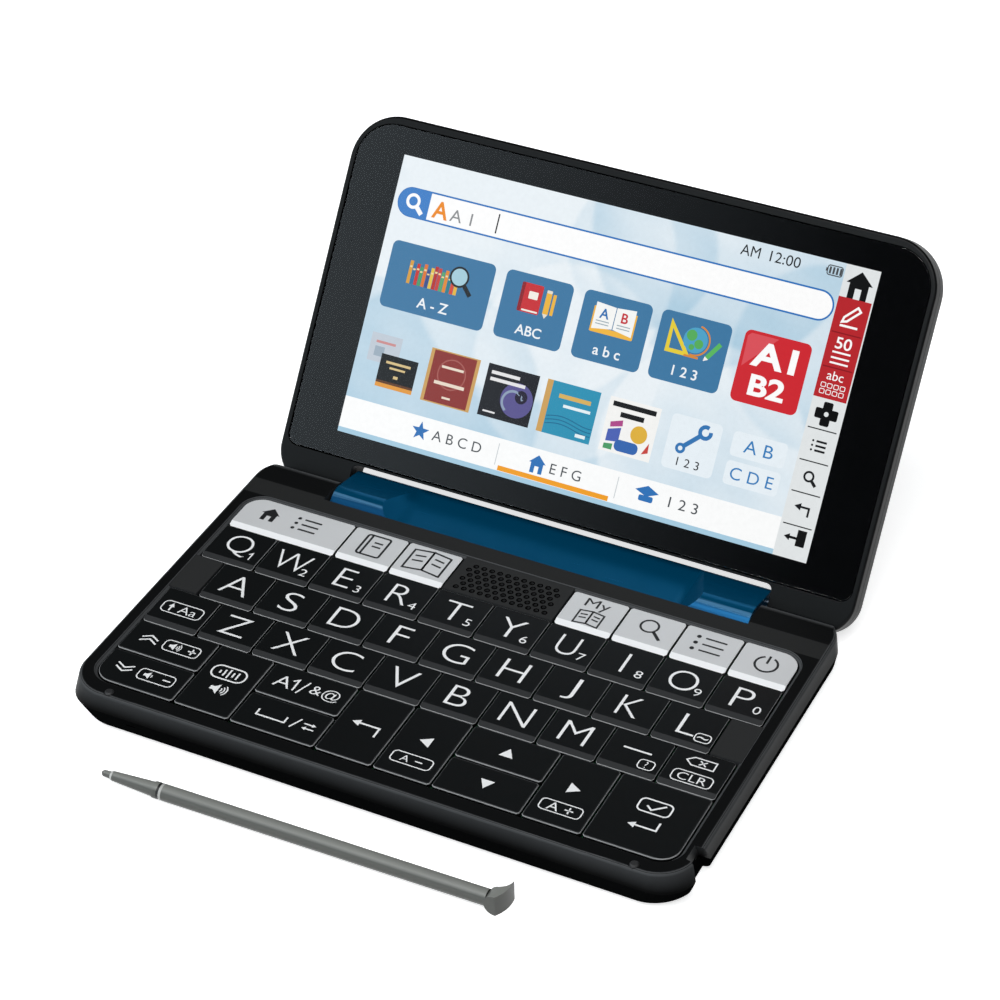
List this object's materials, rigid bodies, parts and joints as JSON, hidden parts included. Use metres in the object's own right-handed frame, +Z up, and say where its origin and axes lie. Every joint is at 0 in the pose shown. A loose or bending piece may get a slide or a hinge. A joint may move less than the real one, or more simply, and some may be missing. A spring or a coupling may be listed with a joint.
{
  "type": "electronic dictionary",
  "caption": "Pocket electronic dictionary: keyboard half and touch-screen half on a two-axis hinge bar, with letter keys, speaker grille and a stylus.",
  "frame": {"origin": "under the middle of the keyboard half, on the surface that its rubber feet stand on", "axes": "+X along the hinge to the user's right, +Y from the keyboard towards the hinge and the screen, +Z up out of the keys"},
  "size_m": [0.1504, 0.1666, 0.0803],
  "materials": {
    "case_graphite": "satin gloss",
    "case_black": "fine matt",
    "lid_blue_black": "satin",
    "key_black": "satin",
    "key_silver": "satin silver",
    "hinge_blue": "satin metallic blue",
    "pin_steel": "turned",
    "cover_glass": "clear gloss",
    "screen_cell": "lit picture",
    "board_green": "solder mask",
    "speaker_dark": "matt",
    "battery_wrap": "satin wrap",
    "rubber_black": "matt",
    "stylus_grey": "satin"
  },
  "bodies": {
    "base": {"base_top_cover": "case_graphite", "base_bottom_cover": "case_black", "key_board": "board_green", "speaker": "speaker_dark", "battery": "battery_wrap", "rubber_pads": "rubber_black"},
    "bar": {"hinge_bar": "hinge_blue", "hinge_pins": "pin_steel"},
    "lid": {"lid_back_cover": "lid_blue_black", "lid_front_frame": "case_graphite", "touch_glass": "cover_glass", "lcd_module": "screen_cell"},
    "stylus": {"stylus": "stylus_grey"},
    "key_a": {"key_a": "key_black"},
    "key_b": {"key_b": "key_black"},
    "key_back": {"key_back": "key_black"},
    "key_book_a": {"key_book_a": "key_silver"},
    "key_book_b": {"key_book_b": "key_silver"},
    "key_c": {"key_c": "key_black"},
    "key_d": {"key_d": "key_black"},
    "key_delete": {"key_delete": "key_black"},
    "key_down": {"key_down": "key_black"},
    "key_e": {"key_e": "key_black"},
    "key_enter": {"key_enter": "key_black"},
    "key_example": {"key_example": "key_silver"},
    "key_f": {"key_f": "key_black"},
    "key_g": {"key_g": "key_black"},
    "key_h": {"key_h": "key_black"},
    "key_home": {"key_home": "key_silver"},
    "key_i": {"key_i": "key_black"},
    "key_j": {"key_j": "key_black"},
    "key_k": {"key_k": "key_black"},
    "key_l": {"key_l": "key_black"},
    "key_left": {"key_left": "key_black"},
    "key_list": {"key_list": "key_silver"},
    "key_long_dash": {"key_long_dash": "key_black"},
    "key_m": {"key_m": "key_black"},
    "key_n": {"key_n": "key_black"},
    "key_o": {"key_o": "key_black"},
    "key_p": {"key_p": "key_black"},
    "key_power": {"key_power": "key_silver"},
    "key_q": {"key_q": "key_black"},
    "key_r": {"key_r": "key_black"},
    "key_right": {"key_right": "key_black"},
    "key_s": {"key_s": "key_black"},
    "key_shift": {"key_shift": "key_black"},
    "key_space": {"key_space": "key_black"},
    "key_study": {"key_study": "key_silver"},
    "key_symbol": {"key_symbol": "key_black"},
    "key_t": {"key_t": "key_black"},
    "key_u": {"key_u": "key_black"},
    "key_up": {"key_up": "key_black"},
    "key_v": {"key_v": "key_black"},
    "key_voice": {"key_voice": "key_black"},
    "key_volume_down": {"key_volume_down": "key_black"},
    "key_volume_up": {"key_volume_up": "key_black"},
    "key_w": {"key_w": "key_black"},
    "key_x": {"key_x": "key_black"},
    "key_y": {"key_y": "key_black"},
    "key_z": {"key_z": "key_black"}
  },
  "joints": [
    {"name": "bar_hinge", "type": "hinge", "parent": "base", "child": "bar", "pos_m": [0, 0.0419, 0.0056], "axis": [-1, 0, 0], "range_deg": [-90, 90]},
    {"name": "lid_hinge", "type": "hinge", "parent": "bar", "child": "lid", "pos_m": [0, 0.0513, 0.0056], "axis": [-1, 0, 0], "range_deg": [-34.5, 145.5]},
    {"name": "stylus_lift", "type": "slide", "parent": "base", "child": "stylus", "axis": [0, 0, 1], "range_m": [0, 0.08]},
    {"name": "key_a_press", "type": "slide", "parent": "base", "child": "key_a", "axis": [0, 0, -1], "range_m": [0, 0.0008], "stiffness_N_per_m": 400},
    {"name": "key_b_press", "type": "slide", "parent": "base", "child": "key_b", "axis": [0, 0, -1], "range_m": [0, 0.0008], "stiffness_N_per_m": 400},
    {"name": "key_back_press", "type": "slide", "parent": "base", "child": "key_back", "axis": [0, 0, -1], "range_m": [0, 0.0008], "stiffness_N_per_m": 400},
    {"name": "key_book_a_press", "type": "slide", "parent": "base", "child": "key_book_a", "axis": [0, 0, -1], "range_m": [0, 0.0008], "stiffness_N_per_m": 400},
    {"name": "key_book_b_press", "type": "slide", "parent": "base", "child": "key_book_b", "axis": [0, 0, -1], "range_m": [0, 0.0008], "stiffness_N_per_m": 400},
    {"name": "key_c_press", "type": "slide", "parent": "base", "child": "key_c", "axis": [0, 0, -1], "range_m": [0, 0.0008], "stiffness_N_per_m": 400},
    {"name": "key_d_press", "type": "slide", "parent": "base", "child": "key_d", "axis": [0, 0, -1], "range_m": [0, 0.0008], "stiffness_N_per_m": 400},
    {"name": "key_delete_press", "type": "slide", "parent": "base", "child": "key_delete", "axis": [0, 0, -1], "range_m": [0, 0.0008], "stiffness_N_per_m": 400},
    {"name": "key_down_press", "type": "slide", "parent": "base", "child": "key_down", "axis": [0, 0, -1], "range_m": [0, 0.0008], "stiffness_N_per_m": 400},
    {"name": "key_e_press", "type": "slide", "parent": "base", "child": "key_e", "axis": [0, 0, -1], "range_m": [0, 0.0008], "stiffness_N_per_m": 400},
    {"name": "key_enter_press", "type": "slide", "parent": "base", "child": "key_enter", "axis": [0, 0, -1], "range_m": [0, 0.0008], "stiffness_N_per_m": 400},
    {"name": "key_example_press", "type": "slide", "parent": "base", "child": "key_example", "axis": [0, 0, -1], "range_m": [0, 0.0008], "stiffness_N_per_m": 400},
    {"name": "key_f_press", "type": "slide", "parent": "base", "child": "key_f", "axis": [0, 0, -1], "range_m": [0, 0.0008], "stiffness_N_per_m": 400},
    {"name": "key_g_press", "type": "slide", "parent": "base", "child": "key_g", "axis": [0, 0, -1], "range_m": [0, 0.0008], "stiffness_N_per_m": 400},
    {"name": "key_h_press", "type": "slide", "parent": "base", "child": "key_h", "axis": [0, 0, -1], "range_m": [0, 0.0008], "stiffness_N_per_m": 400},
    {"name": "key_home_press", "type": "slide", "parent": "base", "child": "key_home", "axis": [0, 0, -1], "range_m": [0, 0.0008], "stiffness_N_per_m": 400},
    {"name": "key_i_press", "type": "slide", "parent": "base", "child": "key_i", "axis": [0, 0, -1], "range_m": [0, 0.0008], "stiffness_N_per_m": 400},
    {"name": "key_j_press", "type": "slide", "parent": "base", "child": "key_j", "axis": [0, 0, -1], "range_m": [0, 0.0008], "stiffness_N_per_m": 400},
    {"name": "key_k_press", "type": "slide", "parent": "base", "child": "key_k", "axis": [0, 0, -1], "range_m": [0, 0.0008], "stiffness_N_per_m": 400},
    {"name": "key_l_press", "type": "slide", "parent": "base", "child": "key_l", "axis": [0, 0, -1], "range_m": [0, 0.0008], "stiffness_N_per_m": 400},
    {"name": "key_left_press", "type": "slide", "parent": "base", "child": "key_left", "axis": [0, 0, -1], "range_m": [0, 0.0008], "stiffness_N_per_m": 400},
    {"name": "key_list_press", "type": "slide", "parent": "base", "child": "key_list", "axis": [0, 0, -1], "range_m": [0, 0.0008], "stiffness_N_per_m": 400},
    {"name": "key_long_dash_press", "type": "slide", "parent": "base", "child": "key_long_dash", "axis": [0, 0, -1], "range_m": [0, 0.0008], "stiffness_N_per_m": 400},
    {"name": "key_m_press", "type": "slide", "parent": "base", "child": "key_m", "axis": [0, 0, -1], "range_m": [0, 0.0008], "stiffness_N_per_m": 400},
    {"name": "key_n_press", "type": "slide", "parent": "base", "child": "key_n", "axis": [0, 0, -1], "range_m": [0, 0.0008], "stiffness_N_per_m": 400},
    {"name": "key_o_press", "type": "slide", "parent": "base", "child": "key_o", "axis": [0, 0, -1], "range_m": [0, 0.0008], "stiffness_N_per_m": 400},
    {"name": "key_p_press", "type": "slide", "parent": "base", "child": "key_p", "axis": [0, 0, -1], "range_m": [0, 0.0008], "stiffness_N_per_m": 400},
    {"name": "key_power_press", "type": "slide", "parent": "base", "child": "key_power", "axis": [0, 0, -1], "range_m": [0, 0.0008], "stiffness_N_per_m": 400},
    {"name": "key_q_press", "type": "slide", "parent": "base", "child": "key_q", "axis": [0, 0, -1], "range_m": [0, 0.0008], "stiffness_N_per_m": 400},
    {"name": "key_r_press", "type": "slide", "parent": "base", "child": "key_r", "axis": [0, 0, -1], "range_m": [0, 0.0008], "stiffness_N_per_m": 400},
    {"name": "key_right_press", "type": "slide", "parent": "base", "child": "key_right", "axis": [0, 0, -1], "range_m": [0, 0.0008], "stiffness_N_per_m": 400},
    {"name": "key_s_press", "type": "slide", "parent": "base", "child": "key_s", "axis": [0, 0, -1], "range_m": [0, 0.0008], "stiffness_N_per_m": 400},
    {"name": "key_shift_press", "type": "slide", "parent": "base", "child": "key_shift", "axis": [0, 0, -1], "range_m": [0, 0.0008], "stiffness_N_per_m": 400},
    {"name": "key_space_press", "type": "slide", "parent": "base", "child": "key_space", "axis": [0, 0, -1], "range_m": [0, 0.0008], "stiffness_N_per_m": 400},
    {"name": "key_study_press", "type": "slide", "parent": "base", "child": "key_study", "axis": [0, 0, -1], "range_m": [0, 0.0008], "stiffness_N_per_m": 400},
    {"name": "key_symbol_press", "type": "slide", "parent": "base", "child": "key_symbol", "axis": [0, 0, -1], "range_m": [0, 0.0008], "stiffness_N_per_m": 400},
    {"name": "key_t_press", "type": "slide", "parent": "base", "child": "key_t", "axis": [0, 0, -1], "range_m": [0, 0.0008], "stiffness_N_per_m": 400},
    {"name": "key_u_press", "type": "slide", "parent": "base", "child": "key_u", "axis": [0, 0, -1], "range_m": [0, 0.0008], "stiffness_N_per_m": 400},
    {"name": "key_up_press", "type": "slide", "parent": "base", "child": "key_up", "axis": [0, 0, -1], "range_m": [0, 0.0008], "stiffness_N_per_m": 400},
    {"name": "key_v_press", "type": "slide", "parent": "base", "child": "key_v", "axis": [0, 0, -1], "range_m": [0, 0.0008], "stiffness_N_per_m": 400},
    {"name": "key_voice_press", "type": "slide", "parent": "base", "child": "key_voice", "axis": [0, 0, -1], "range_m": [0, 0.0008], "stiffness_N_per_m": 400},
    {"name": "key_volume_down_press", "type": "slide", "parent": "base", "child": "key_volume_down", "axis": [0, 0, -1], "range_m": [0, 0.0008], "stiffness_N_per_m": 400},
    {"name": "key_volume_up_press", "type": "slide", "parent": "base", "child": "key_volume_up", "axis": [0, 0, -1], "range_m": [0, 0.0008], "stiffness_N_per_m": 400},
    {"name": "key_w_press", "type": "slide", "parent": "base", "child": "key_w", "axis": [0, 0, -1], "range_m": [0, 0.0008], "stiffness_N_per_m": 400},
    {"name": "key_x_press", "type": "slide", "parent": "base", "child": "key_x", "axis": [0, 0, -1], "range_m": [0, 0.0008], "stiffness_N_per_m": 400},
    {"name": "key_y_press", "type": "slide", "parent": "base", "child": "key_y", "axis": [0, 0, -1], "range_m": [0, 0.0008], "stiffness_N_per_m": 400},
    {"name": "key_z_press", "type": "slide", "parent": "base", "child": "key_z", "axis": [0, 0, -1], "range_m": [0, 0.0008], "stiffness_N_per_m": 400}
  ]
}
